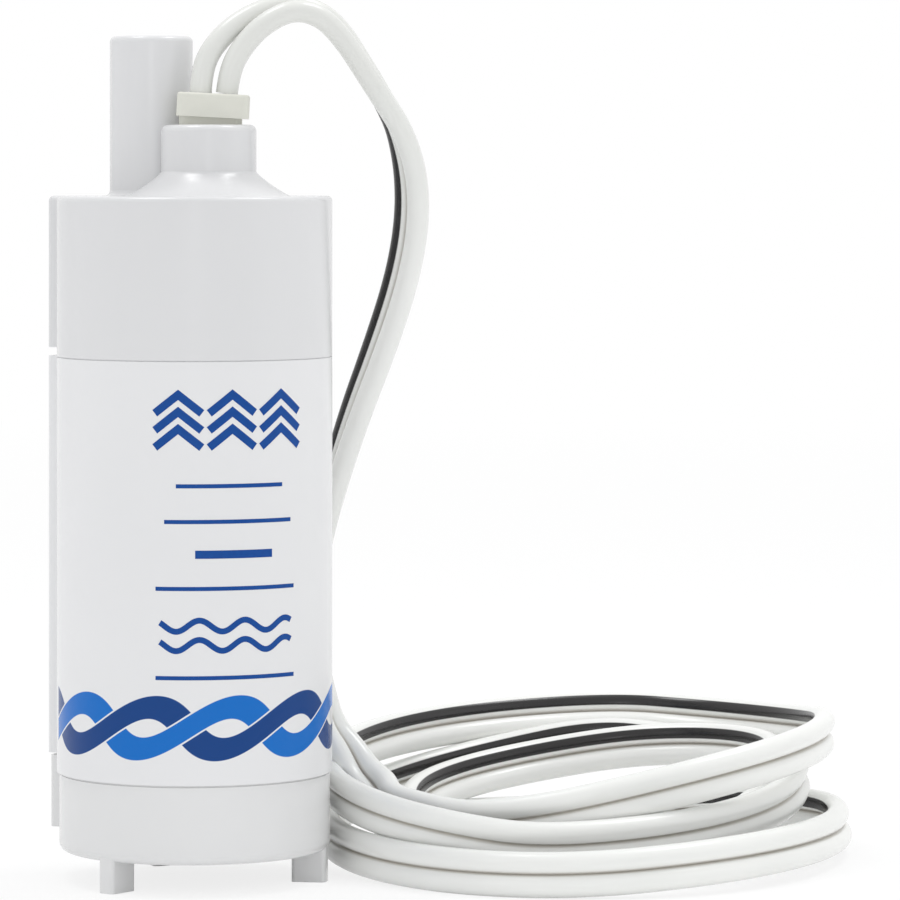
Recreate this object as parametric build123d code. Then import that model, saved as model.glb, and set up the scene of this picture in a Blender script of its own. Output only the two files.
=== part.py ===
"""Submersible caravan water pump: a slim round pump that stands on three feet.

The frame's origin is on the floor under the axis of the round body, Z is up, sizes are millimetres.
Water comes in through the strainer base, the impeller throws it into a duct at the side of the
motor, and the duct leads up to the spout. The motor hangs upside down in the dry middle tube.
"""

from build123d import *
import math
import os

# Outer shells, from the floor up
body_d = 38.0
shell_wall = 1.6
foot_h = 4.25
base_h = 10.55
lower_seam = 0.3
tube_h = 57.0
upper_seam = 0.15
cap_h = 22.05
base_edge = 1.2
cap_edge = 0.7
base_inset = 0.35
seam_depth = 0.2
base_floor = 1.5
spigot_h = 2.8
spigot_t = 1.5
fit = 0.05
joint_gap = 0.3
cut = 1.0

# Rib at the side, which is the outside of the water duct
duct_angle = 157.0
rib_w = 8.0
rib_out = 20.85
rib_edge = 0.7
rib_gap = 1.0
base_rib_inset = 0.4
base_rib_start = 2.45
base_tab_h = 1.85
duct_w = 7.4
duct_in = 12.7
duct_out = 16.4
duct_side = 1.0
duct_edge = 1.0
plenum_h = 4.9

# Feet and strainer slots
foot_count = 3
foot_angle = -8.0
foot_in = 13.7
foot_out = 18.5
foot_w = 2.6
foot_edge = 0.6
slot_w = 1.6
slot_in = 5.0
slot_out = 12.2
slot_edge = 0.5
slot_count = 16
centre_hole_r = 2.4

# Spout
spout_out = 6.68
spout_d = 11.5
spout_bore = 8.0
spout_h = 22.1
spout_edge = 0.8
spout_foot = 0.8

# Cable boss and its grommet
boss_x = 2.1
boss_y = -3.4
boss_d = 13.1
boss_h = 9.8
boss_edge = 0.9
flare_w = 4.9
flare_h = 3.4
flare_ease_share = 0.84
neck_l = 8.6
neck_side = 0.25
neck_w = 3.8
neck_edge = 0.9
neck_depth = 3.0
neck_show = 1.0
flange_l = 9.9
flange_side = 0.57
flange_w = 4.0
flange_h = 3.3
flange_edge = 0.8
flange_shift = -0.9
flange_tilt = 3.0

# Motor
motor_shift = 2.6
motor_d = 27.7
motor_can_h = 30.2
motor_fit = 0.2
can_wall = 0.9
can_edge = 0.8
motor_boss_d = 10.0
motor_boss_h = 2.0
end_cap_plug = 3.0
end_cap_t = 2.2
shaft_d = 2.3
shaft_fit = 0.03
bearing_d = 6.0
bearing_h = 2.8
magnet_t = 3.0
magnet_h = 18.0
magnet_span = 130.0
magnet_lift = 4.2
clip_w = 4.0
clip_t = 0.8
air_gap = 0.5
core_hub_r = 3.2
tooth_w = 3.2
shoe_t = 1.3
shoe_span = 98.0
pole_count = 3
coil_turn_h = 2.0
coil_wide = 8.6
coil_slack = 0.3
turn_round_share = 0.9
commutator_d = 6.6
commutator_h = 3.8
commutator_core_d = 4.2
segment_slit = 0.4
washer_d = 4.6
washer_t = 0.4
brush_gap = 0.1
brush_l = 3.2
brush_w = 2.4
brush_h = 2.6
arm_t = 0.4
arm_w = 3.0
terminal_out = 6.4
terminal_w = 2.8
terminal_t = 0.5
terminal_h = 5.0
capacitor_d = 7.0
capacitor_t = 2.6
capacitor_edge = 0.8
capacitor_leg = 0.6
retainer_t = 1.2

# Pump end
chamber_r = 12.2
chamber_h = 4.9
bulkhead_t = 5.0
plate_t = 1.5
gasket_t = 0.6
eye_r = 4.6
impeller_d = 19.0
impeller_back_t = 1.2
impeller_hub_d = 4.6
impeller_gap = 0.5
vane_h = 3.0
vane_t = 0.8
vane_count = 6
vane_in = 3.6
vane_lean = 32.0
vane_bow_share = 0.33
seal_d = 8.0
seal_h = 1.8
seal_washer_t = 0.5
bulkhead_web = 0.6

# Cable: a flat twin flex, split into its two cores at the pump
core_d = 3.1
core_mid_x = 2.78
core_gap = 3.6
core_y = -3.4
split_gap = 0.1
split_across = (1.1, 2.6, 1.4)
split_run = 4.6
bend_share = 0.45
lead_drop_share = 0.55
cord_d = 4.65
neighbour_diameters = 3
stub_l = 12.0
copper_d = 1.6
copper_l = 7.0

# Levels and places that follow from the sizes above
body_r = body_d / 2
base_top = foot_h + base_h
tube_bottom = base_top + lower_seam
tube_top = tube_bottom + tube_h
cap_bottom = tube_top + upper_seam
cap_top = cap_bottom + cap_h
spout_top = cap_top + spout_h
boss_top = cap_top + boss_h
socket_r = body_r - shell_wall
spigot_r = socket_r - fit
spigot_top = base_top + spigot_h
plate_top = spigot_top + plate_t
shoulder = plate_top + gasket_t
chamber_top = shoulder + chamber_h
motor_seat = chamber_top + bulkhead_t
can_top = motor_seat + motor_can_h
end_cap_top = can_top + end_cap_t
tube_spigot_top = tube_top + spigot_h
ledge = tube_spigot_top + gasket_t
roof = cap_top - shell_wall - spout_edge
duct_dir = Vector(math.cos(math.radians(duct_angle)), math.sin(math.radians(duct_angle)), 0)
motor_at = duct_dir * -motor_shift
spout_at = duct_dir * spout_out
motor_bore_r = motor_d / 2 + motor_fit
plenum_top = roof
plenum_bottom = roof - plenum_h
flange_bottom = boss_top + neck_show
flange_top = flange_bottom + flange_h
lead_exit = flange_top
core_x = (core_mid_x - core_gap / 2, core_mid_x + core_gap / 2)
shaft_r = shaft_d / 2
rotor_core_r = motor_d / 2 - can_wall - magnet_t - air_gap
core_bottom = motor_seat + magnet_lift
core_top = core_bottom + magnet_h
comm_bottom = core_top + coil_turn_h + washer_t
comm_top = comm_bottom + commutator_h
rear_bearing_bottom = end_cap_top - bearing_h
impeller_bottom = plate_top + impeller_gap
impeller_back = impeller_bottom + vane_h
impeller_top = impeller_back + impeller_back_t

# The cable's free route: the two cores from the grommet, then the twin down to the coil
right_core_route = [
    (4.58, -3.4, 113.2),
    (7.3, -3.2, 117.9),
    (12.3, -2.0, 120.6),
    (17.9, -0.4, 119.7),
]
left_core_route = [
    (0.98, -3.4, 113.4),
    (3.4, -2.2, 118.3),
    (8.6, -0.2, 121.1),
    (14.5, 2.0, 121.4),
    (19.6, 3.8, 119.9),
]
twin_route = [
    (24.75, 4.1, 111.8),
    (27.8, 5.5, 105.4),
    (29.6, 7.5, 98.0),
    (29.7, 9.5, 90.3),
    (28.3, 11.5, 82.4),
    (25.6, 13.2, 73.6),
    (21.9, 14.8, 62.5),
    (18.8, 16.2, 51.9),
    (17.0, 16.9, 43.8),
    (16.6, 16.9, 36.3),
    (17.1, 16.1, 29.6),
    (18.4, 13.9, 23.6),
    (20.6, 10.3, 19.1),
]

# The coil: where each turn stands at its front, right, back and left, from the top turn down
floor_z = cord_d / 2
coil_turns = [
    [(50.1, -10.5, 11.7), (90.5, 36, 16), (57, 59.5, 17.2), (19.4, 20.7, 8.95)],
    [(49.75, -15.4, 6.5), (86.3, 31, 8.6), (57, 55, 12.6), (19.2, 19, floor_z)],
    [(49.9, -18.6, floor_z), (92.2, 24.9, floor_z), (57, 43.6, floor_z), (24.9, 21, floor_z)],
    [(50, -11.2, floor_z), (79.4, 28, 8.4), (57, 49.6, 11.2), (29.5, 25, 7.4)],
]
coil_ways = [(1, 0, 0), (0, 1, 0), (-1, 0, 0), (0, -1, 0)]
coil_end = (47.3, 4.1, floor_z)


def place(radius, degrees, z=0):
    """A point at a radius and an angle about the body's axis."""
    a = math.radians(degrees)
    return Vector(radius * math.cos(a), radius * math.sin(a), z)


def drum(radius, bottom, top, centre=Vector(0, 0, 0)):
    """An upright cylinder between two levels."""
    at = Pos(centre.X, centre.Y, bottom)
    return at * Cylinder(radius, top - bottom, align=(Align.CENTER, Align.CENTER, Align.MIN))


def ring(outer, inner, bottom, top, centre=Vector(0, 0, 0)):
    """An upright ring between two levels."""
    return drum(outer, bottom, top, centre) - drum(inner, bottom - cut, top + cut, centre)


def radial_block(start, end, width, bottom, top, edge, degrees=duct_angle):
    """A block along a radius, with its upright edges rounded."""
    shape = Pos((start + end) / 2, 0) * RectangleRounded(end - start, width, edge)
    return Pos(0, 0, bottom) * Rot(0, 0, degrees) * extrude(shape, top - bottom)


def rib(inset, bottom, top):
    """The outside rib of one shell."""
    return radial_block(duct_in, rib_out - inset, rib_w, bottom, top, rib_edge)


def duct(bottom, top):
    """The water duct beside the motor, where it passes a joint between two shells."""
    return radial_block(duct_in, duct_out, duct_w, bottom, top, duct_edge)


def rib_duct(bottom, top):
    """The water duct where it reaches out into the rib."""
    width = rib_w - 2 * duct_side
    return radial_block(duct_in, rib_out - shell_wall, width, bottom, top, duct_edge)


def edges_near(solid, level, radius, reach, centre=Vector(0, 0, 0)):
    """The round edges of a solid at a level whose radius is near the one given."""
    found = solid.edges().filter_by(GeomType.CIRCLE)
    found = found.filter_by(lambda e: abs(e.center().Z - level) < reach)
    return found.filter_by(
        lambda e: abs(e.radius - radius) < reach
        and abs(e.arc_center.X - centre.X) < reach
        and abs(e.arc_center.Y - centre.Y) < reach
    )


def cup_outside():
    """The strainer base before it is hollowed: a low drum with a rounded lower edge."""
    outer = drum(body_r - base_inset, foot_h, base_top)
    return fillet(edges_near(outer, foot_h, body_r - base_inset, fit), base_edge)


def strainer_base():
    """The cup under the pump, with its intake slots, rib tab, spigot and weld land."""
    outer = cup_outside()
    key_top = base_top + base_tab_h
    key = rib(base_rib_inset, foot_h + base_rib_start, base_top)
    tab = rib(base_rib_inset, base_top - cut, key_top) - drum(body_r + fit, base_top, key_top + cut)
    cup = outer + key + tab - drum(socket_r, foot_h + base_floor, base_top + cut)
    cup += ring(socket_r + fit, spigot_r - spigot_t, base_top - spigot_h, base_top)
    cup += ring(spigot_r, spigot_r - spigot_t, base_top - spigot_h, spigot_top)
    land_r = body_r - base_inset - seam_depth
    cup += ring(land_r, spigot_r - spigot_t, base_top - seam_depth, tube_bottom)
    under = foot_h - cut
    above = foot_h + base_floor + cut
    slot = radial_block(slot_in, slot_out, slot_w, under, above, slot_edge, 0)
    for number in range(slot_count):
        cup -= Rot(0, 0, (number + 0.5) * 360 / slot_count) * slot
    return cup - drum(centre_hole_r, under, above)


def base_feet():
    """The three feet, which are moulded on under the strainer base and follow its rounded edge."""
    feet = []
    for number in range(foot_count):
        angle = foot_angle - number * 360 / foot_count
        foot = radial_block(foot_in, foot_out, foot_w, 0, foot_h + base_edge, foot_edge, angle)
        feet.append((foot - cup_outside()).solid())
    return Compound(children=feet)


def pump_body():
    """The middle tube: impeller chamber below, dry motor bore above, duct at the side."""
    tube = drum(body_r, tube_bottom, tube_top) + rib(0, base_top + base_tab_h + joint_gap, tube_top)
    tube += drum(spigot_r, tube_top - cut, tube_spigot_top)
    tube += drum(body_r - seam_depth, tube_top - cut, cap_bottom)
    tube -= drum(socket_r, tube_bottom - cut, shoulder)
    tube -= drum(chamber_r, shoulder - cut, chamber_top, motor_at)
    tube -= radial_block(0, duct_out, duct_w, shoulder - cut, chamber_top, duct_edge)
    tube -= duct(shoulder, tube_spigot_top + cut)
    tube -= rib_duct(chamber_top, tube_top - shell_wall)
    tube -= drum(motor_bore_r, motor_seat, tube_spigot_top + cut, motor_at)
    tube -= drum(motor_boss_d / 2 + fit, motor_seat - motor_boss_h - fit, motor_seat + cut, motor_at)
    pocket_top = motor_seat - motor_boss_h - fit - bulkhead_web
    tube -= drum(seal_d / 2, chamber_top - cut, pocket_top, motor_at)
    return tube - drum(shaft_r + joint_gap, chamber_top - cut, motor_seat, motor_at)


def upper_cap():
    """The cap: wet plenum from the duct to the spout, dry room for the leads, cable boss."""
    cap = drum(body_r, cap_bottom, cap_top) + rib(0, cap_bottom + rib_gap, cap_top)
    top_edges = cap.faces().sort_by(Axis.Z)[-1].outer_wire().edges()
    cap = fillet(top_edges, cap_edge)
    cap += Pos(boss_x, boss_y) * boss_post()
    cap += Pos(spout_at.X, spout_at.Y) * spout_post()
    cap -= drum(socket_r, cap_bottom - cut, ledge)
    cavity = drum(motor_bore_r, ledge - cut, roof, motor_at)
    wall_r = (spout_d + cut) / 2
    keep = drum(wall_r, plenum_bottom - shell_wall, roof, spout_at)
    keep += radial_block(
        spout_out, duct_in, duct_w + 2 * shell_wall, plenum_bottom - shell_wall, roof, duct_edge
    )
    cap -= cavity - keep
    cap -= duct(ledge - cut, plenum_top)
    cap -= rib_duct(ledge + shell_wall, plenum_top)
    cap -= radial_block(
        spout_out - duct_edge, duct_out, duct_w, plenum_bottom, plenum_top, duct_edge
    )
    cap -= drum(spout_bore / 2, plenum_bottom, spout_top + cut, spout_at)
    return cap - entry_slot(roof - cut, boss_top + cut, fit)


def post(r, foot_r, curve, top, edge):
    """A round post on the cap's top: a curve from its wide foot up to its wall, and a rounded rim."""
    low = cap_top - cut
    profile = Polyline((0, low), (foot_r, low), (foot_r, cap_top)) + curve
    profile += Line(curve @ 1, (r, top - edge))
    profile += RadiusArc((r, top - edge), (r - edge, top), -edge)
    profile += Polyline((r - edge, top), (0, top), (0, low))
    return revolve(Plane.XZ * make_face(profile), Axis.Z)


def boss_post():
    """The cable boss, whose foot flares out almost like a cone."""
    r = boss_d / 2
    foot_r = r + flare_w
    wide = (r + flare_w * flare_ease_share, cap_top)
    high = (r, cap_top + flare_h * flare_ease_share)
    curve = Bezier((foot_r, cap_top), wide, high, (r, cap_top + flare_h))
    return post(r, foot_r, curve, boss_top, boss_edge)


def spout_post():
    """The spout, with a small fillet at its foot."""
    r = spout_d / 2
    curve = RadiusArc((r + spout_foot, cap_top), (r, cap_top + spout_foot), spout_foot)
    return post(r, r + spout_foot, curve, spout_top, spout_edge)


def entry_slot(bottom, top, slack):
    """The long hole in the boss that the cores pass through."""
    shape = Pos(boss_x + neck_side, boss_y) * RectangleRounded(
        neck_l + 2 * slack, neck_w + 2 * slack, neck_edge
    )
    return Pos(0, 0, bottom) * extrude(shape, top - bottom)


def core_holes(bottom, top):
    """Holes for the two cores."""
    low = drum(core_d / 2 + fit, bottom, top, Vector(core_x[0], core_y, 0))
    return low + drum(core_d / 2 + fit, bottom, top, Vector(core_x[1], core_y, 0))


def cable_grommet():
    """The pale grommet: a neck in the boss and a slightly tilted flange on top."""
    neck = entry_slot(boss_top - neck_depth, flange_bottom + cut, 0)
    flange = extrude(RectangleRounded(flange_l, flange_w, flange_edge), flange_h)
    flange = fillet(flange.faces().sort_by(Axis.Z)[-1].edges(), flange_edge / 2)
    at = Pos(boss_x + flange_side, boss_y + flange_shift, flange_bottom)
    flange = at * Rot(0, flange_tilt, 0) * flange
    return neck + flange - core_holes(boss_top - neck_depth - cut, flange_top + cut)


def entry_resin():
    """The cast plug that seals the cores in the boss."""
    plug = entry_slot(roof, boss_top - neck_depth, 0)
    return plug - core_holes(roof - cut, boss_top - neck_depth + cut)


def gasket(bottom, bore_r, with_duct):
    """A flat gasket as wide as the spigots."""
    top = bottom + gasket_t
    flat = drum(spigot_r, bottom, top) - drum(bore_r, bottom - cut, top + cut, motor_at)
    return flat - duct(bottom - cut, top + cut) if with_duct else flat


def intake_plate():
    """The plate under the impeller, with the eye that the water comes through."""
    plate = drum(spigot_r, spigot_top, plate_top)
    lip = ring(eye_r + vane_t, eye_r, spigot_top - plate_t, spigot_top, motor_at)
    return plate + lip - drum(eye_r, spigot_top - cut, plate_top + cut, motor_at)


def impeller():
    """Open impeller: curved vanes under a back plate, and a hub on the shaft."""
    wheel = drum(impeller_d / 2, impeller_back, impeller_top)
    hub = drum(impeller_hub_d / 2, impeller_bottom, impeller_top)
    vane_out = impeller_d / 2 - vane_t / 2
    middle = (vane_in + vane_out) / 2
    bow = place(middle, -vane_lean * vane_bow_share)
    line = ThreePointArc(place(vane_in, 0), bow, place(vane_out, -vane_lean))
    vane = Pos(0, 0, impeller_bottom) * extrude(trace(line, vane_t), vane_h + impeller_back_t / 2)
    link = Pos(0, 0, impeller_bottom) * extrude(
        Pos(vane_in / 2, 0) * Rectangle(vane_in, vane_t), vane_h + impeller_back_t / 2
    )
    for number in range(vane_count):
        wheel += Rot(0, 0, number * 360 / vane_count) * (vane + link)
    wheel += hub
    return on_motor(wheel - drum(shaft_r, impeller_bottom - cut, impeller_top + cut))


def on_motor(shape):
    """Moves a shape that was drawn about Z to the motor's axis."""
    return Pos(motor_at.X, motor_at.Y, 0) * shape


def shaft():
    """The motor shaft, from the impeller to the rear bearing."""
    return drum(shaft_r, impeller_bottom, end_cap_top - fit, motor_at)


def shaft_seal():
    """The rubber seal in the pocket of the bulkhead."""
    top = motor_seat - motor_boss_h - fit - bulkhead_web
    bottom = top - seal_h
    seal = ring(seal_d / 2, shaft_r + shaft_fit, bottom, top, motor_at)
    groove = ring(seal_d / 2 - seal_h / 2, shaft_r + seal_h / 2, bottom - cut, bottom + seal_h / 2, motor_at)
    return seal - groove


def seal_washer():
    """The washer that keeps the seal in its pocket."""
    top = motor_seat - motor_boss_h - fit - bulkhead_web - seal_h
    return ring(seal_d / 2, shaft_r + joint_gap, top - seal_washer_t, top, motor_at)


def motor_can():
    """The steel can of the motor, with the boss of its front bearing."""
    r = motor_d / 2
    can = drum(r, motor_seat, can_top) - drum(r - can_wall, motor_seat + can_wall, can_top + cut)
    can = fillet(edges_near(can, motor_seat, r, fit), can_edge)
    can += drum(motor_boss_d / 2, motor_seat - motor_boss_h, motor_seat + can_wall)
    return on_motor(can - drum(bearing_d / 2, motor_seat - motor_boss_h - cut, motor_seat + can_wall + cut))


def front_bearing():
    """The sintered bush in the can's boss."""
    low = motor_seat - motor_boss_h
    return ring(bearing_d / 2, shaft_r + shaft_fit, low, low + bearing_h, motor_at)


def rear_bearing():
    """The sintered bush in the end cap."""
    return ring(bearing_d / 2, shaft_r + shaft_fit, rear_bearing_bottom, end_cap_top, motor_at)


def motor_end_cap():
    """The nylon end cap, which closes the can and holds the bush, brushes and terminals."""
    plug_r = motor_d / 2 - can_wall
    cap = drum(plug_r, can_top - end_cap_plug, can_top) + drum(motor_d / 2, can_top, end_cap_top)
    cap -= drum(plug_r - end_cap_t, can_top - end_cap_plug - cut, can_top)
    cap += drum(bearing_d / 2 + can_wall, rear_bearing_bottom, end_cap_top)
    cap -= drum(bearing_d / 2, rear_bearing_bottom - cut, end_cap_top + cut)
    for side in (-1, 1):
        slit = Pos(side * terminal_out, 0, end_cap_top) * Box(terminal_t, terminal_w, 2 * end_cap_t + cut)
        cap -= slit
    return on_motor(cap)


def stator_magnets():
    """Two ferrite arcs inside the can."""
    outer = motor_d / 2 - can_wall
    whole = ring(outer, outer - magnet_t, core_bottom, core_top)
    arcs = []
    for middle in (0, 180):
        arcs.append(on_motor(whole & wedge(outer + cut, magnet_span, middle, core_bottom, core_top)))
    return Compound(children=[a.solid() for a in arcs])


def wedge(radius, span, middle, bottom, top):
    """A slice of a drum, span degrees wide about a middle angle."""
    half = math.radians(span / 2)
    reach = radius / math.cos(half) if half < math.pi / 3 else radius * 2
    corner = (reach * math.cos(half), reach * math.sin(half))
    shape = make_face(
        Polyline((0, 0), corner, (reach, 0), (corner[0], -corner[1]), (0, 0))
    )
    slab = Pos(0, 0, bottom) * extrude(shape, top - bottom)
    return Rot(0, 0, middle) * (slab & drum(radius, bottom, top))


def magnet_clip():
    """The spring clips that spread the two magnets apart."""
    outer = motor_d / 2 - can_wall
    whole = ring(outer, outer - clip_t, core_bottom, core_top)
    clips = []
    for middle in (90, 270):
        part = whole & Rot(0, 0, middle) * (
            Pos(outer, 0, (core_bottom + core_top) / 2) * Box(magnet_t * 2, clip_w, magnet_h)
        )
        clips.append(on_motor(part))
    return Compound(children=[c.solid() for c in clips])


def armature_core():
    """The laminated iron core: a hub, three teeth and three pole shoes."""
    iron = drum(core_hub_r, core_bottom, core_top)
    shoes = ring(rotor_core_r, rotor_core_r - shoe_t, core_bottom, core_top)
    middle_z = (core_bottom + core_top) / 2
    for number in range(pole_count):
        angle = number * 360 / pole_count
        shoe = shoes & wedge(rotor_core_r + cut, shoe_span, angle, core_bottom, core_top)
        arm_l = rotor_core_r - shoe_t / 2
        tooth = Rot(0, 0, angle) * (Pos(arm_l / 2, 0, middle_z) * Box(arm_l, tooth_w, magnet_h))
        iron += shoe + tooth
    return on_motor(iron - drum(shaft_r, core_bottom - cut, core_top + cut))


def armature_windings():
    """Three copper coils, one round each tooth."""
    start = core_hub_r + coil_slack
    end = rotor_core_r - shoe_t - coil_slack
    bottom, top = core_bottom - coil_turn_h, core_top + coil_turn_h
    block = Box(end - start, coil_wide, top - bottom)
    block = fillet(block.edges().filter_by(Axis.X), coil_turn_h * turn_round_share)
    block -= Box(end - start + cut, tooth_w, magnet_h)
    coil = Pos((start + end) / 2, 0, (bottom + top) / 2) * block
    coil = coil & wedge(end, 360 / pole_count - coil_slack, 0, bottom, top)
    coils = []
    for number in range(pole_count):
        coils.append(on_motor(Rot(0, 0, number * 360 / pole_count) * coil))
    return Compound(children=[c.solid() for c in coils])


def commutator_core():
    """The insulating sleeve under the commutator bars."""
    return ring(commutator_core_d / 2, shaft_r, comm_bottom, comm_top, motor_at)


def commutator():
    """Three copper bars round the sleeve."""
    bars = ring(commutator_d / 2, commutator_core_d / 2, comm_bottom, comm_top)
    middle_z = (comm_bottom + comm_top) / 2
    for number in range(pole_count):
        slit = Pos(commutator_d / 2, 0, middle_z) * Box(commutator_d, segment_slit, commutator_h + cut)
        bars -= Rot(0, 0, (number + 0.5) * 360 / pole_count) * slit
    return Compound(children=[on_motor(b) for b in bars.solids()])


def thrust_washers():
    """Two fibre washers on the shaft, one at each end of the rotor."""
    low = motor_seat - motor_boss_h + bearing_h + washer_t
    lower = ring(washer_d / 2, shaft_r, low, low + washer_t, motor_at)
    high = rear_bearing_bottom - washer_t * 2
    upper = ring(washer_d / 2, shaft_r, high, high + washer_t, motor_at)
    return Compound(children=[lower.solid(), upper.solid()])


def brush_place():
    """The distance of a brush's middle from the motor's axis, and its level."""
    return commutator_d / 2 + brush_gap + brush_l / 2, (comm_bottom + comm_top) / 2


def carbon_brushes():
    """Two carbon brushes beside the commutator."""
    out, level = brush_place()
    brushes = []
    for side in (-1, 1):
        brushes.append(on_motor(Pos(side * out, 0, level) * Box(brush_l, brush_w, brush_h)))
    return Compound(children=[b.solid() for b in brushes])


def brush_springs():
    """Two springy arms, from the end cap down to the backs of the brushes."""
    out, level = brush_place()
    back = out + brush_l / 2
    arms = []
    for side in (-1, 1):
        low = level - arm_w / 2
        top = can_top
        blade = Pos(side * (back + arm_t / 2), 0, (low + top) / 2) * Box(arm_t, arm_w, top - low)
        arms.append(on_motor(blade))
    return Compound(children=[a.solid() for a in arms])


def motor_terminals():
    """Two tabs through the end cap, where the leads are soldered."""
    low = end_cap_top - end_cap_t
    tabs = []
    for side in (-1, 1):
        tab = Pos(side * terminal_out, 0, low + (terminal_h + end_cap_t) / 2) * Box(
            terminal_t, terminal_w, terminal_h + end_cap_t
        )
        tabs.append(on_motor(tab))
    return Compound(children=[t.solid() for t in tabs])


def noise_capacitor():
    """The disc capacitor across the terminals, with its two legs."""
    centre_z = end_cap_top + capacitor_d / 2
    disc = Pos(0, 0, centre_z) * Rot(90, 0, 0) * Cylinder(capacitor_d / 2, capacitor_t)
    disc = fillet(disc.edges().filter_by(GeomType.CIRCLE), capacitor_edge)
    leg_l = terminal_out - terminal_t / 2
    for side in (-1, 1):
        disc += Pos(side * leg_l / 2, 0, centre_z) * Box(leg_l, capacitor_leg, capacitor_leg)
    return on_motor(disc)


def motor_retainer():
    """The sleeve that the cap presses down on the motor."""
    outer = motor_bore_r - fit
    sleeve = ring(outer, outer - retainer_t, end_cap_top, tube_spigot_top, motor_at)
    return sleeve


def arc_radii(points):
    """For each inner point, a share of its shorter run over the tangent of half the turn."""
    radii = []
    for before, at, after in zip(points, points[1:], points[2:]):
        run_in, run_out = at - before, after - at
        half_turn = math.radians(run_in.get_angle(run_out) / 2)
        radii.append(bend_share * min(run_in.length, run_out.length) / math.tan(half_turn))
    return radii


def tube(points, diameter, name):
    """A round tube along straight runs joined by tangent arcs."""
    points = [Vector(*p) for p in points]
    radii = arc_radii(points)
    path = FilletPolyline(*points, radius=radii)
    start = Plane(origin=points[0], z_dir=points[1] - points[0])
    solid = sweep(start * Circle(diameter / 2), path=path)
    expected = math.pi * diameter**2 / 4 * path.length
    print(name, "radii", [round(r, 1) for r in radii], "length", round(path.length, 1))
    print(name, "volume over section times length", round(solid.volume / expected, 4))
    return solid


def inner_lead(side):
    """One core inside the pump, from its terminal to the top of the grommet."""
    x = core_x[0] if side < 0 else core_x[1]
    end_x = motor_at.X + side * terminal_out
    end_z = end_cap_top + terminal_h
    high = plenum_bottom
    route = [
        (x, core_y, lead_exit),
        (x, core_y, high),
        (end_x, motor_at.Y, high - (high - end_z) * lead_drop_share),
        (end_x, motor_at.Y, end_z),
    ]
    return tube(route, core_d, "inner lead")


def split_point(side, back):
    """Where a core meets the twin's end, or a point that far before it."""
    at, after = Vector(*twin_route[0]), Vector(*twin_route[1])
    along = (after - at).normalized()
    across = Vector(*split_across)
    across = (across - along * across.dot(along)).normalized()
    return at - across * side * (core_d / 2 + split_gap) - along * back


def free_core(side, route):
    """One core's free stretch, from the grommet to where the two join."""
    x = core_x[0] if side < 0 else core_x[1]
    last = [tuple(split_point(side, split_run)), tuple(split_point(side, 0))]
    return tube([(x, core_y, lead_exit)] + route + last, core_d, "free core")


def two_arcs(p0, way0, p1, way1):
    """Two arcs that join p0 to p1 and leave and arrive along the ways given."""
    chord, ways = p1 - p0, way0 + way1
    a, b, c = 2 * (1 - way0.dot(way1)), 2 * chord.dot(ways), -chord.dot(chord)
    reach = (math.sqrt(b * b - 4 * a * c) - b) / (2 * a)
    knee0, knee1 = p0 + way0 * reach, p1 - way1 * reach
    joint = (knee0 + knee1) * 0.5
    first = Edge.make_tangent_arc(p0, way0, joint)
    return [first, Edge.make_tangent_arc(joint, (knee1 - knee0).normalized(), p1)]


def coil_path():
    """The coil's line: two arcs for each quarter turn, from the twin's end to the cord's end."""
    points = [Vector(*twin_route[-1])]
    ways = [(points[0] - Vector(*twin_route[-2])).normalized()]
    for turn in coil_turns:
        for point, way in zip(turn, coil_ways):
            points.append(Vector(*point))
            ways.append(Vector(*way))
    points.append(Vector(*coil_end))
    ways.append(Vector(*coil_ways[0]))
    edges = []
    for number in range(len(points) - 1):
        edges += two_arcs(points[number], ways[number], points[number + 1], ways[number + 1])
    print("coil radii", [round(e.radius, 1) for e in edges])
    return Wire(edges)


def least_gap(line, diameter):
    """The least gap between two stretches of a line that are not neighbours along it."""
    step = diameter / 4
    count = int(line.length / step)
    points = [line.position_at(k / count) for k in range(count + 1)]
    apart = int(neighbour_diameters * diameter / step)
    least = line.length
    for number, point in enumerate(points):
        for other in points[number + apart :]:
            if abs(point.X - other.X) < 2 * diameter and abs(point.Y - other.Y) < 2 * diameter:
                least = min(least, (point - other).length)
    return least - diameter


def cable_coil():
    """The loose coil on the floor, one unbroken tube."""
    line = coil_path()
    start = Plane(origin=line @ 0, z_dir=line % 0)
    solid = sweep(start * Circle(cord_d / 2), path=line)
    expected = math.pi * cord_d**2 / 4 * line.length
    print("coil length", round(line.length, 1), "volume share", round(solid.volume / expected, 4))
    print("coil least gap to itself", round(least_gap(line, cord_d), 2))
    return solid


def cord_stub(start_x, length, diameter):
    """Two straight ends side by side beyond the coil's end."""
    stubs = []
    for side in (-1, 1):
        at = Pos(start_x, coil_end[1] + side * core_d / 2, core_d / 2)
        rod = Rot(0, 90, 0) * Cylinder(diameter / 2, length, align=(Align.CENTER, Align.CENTER, Align.MIN))
        stubs.append(at * rod)
    return Compound(children=[s.solid() for s in stubs])


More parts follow.
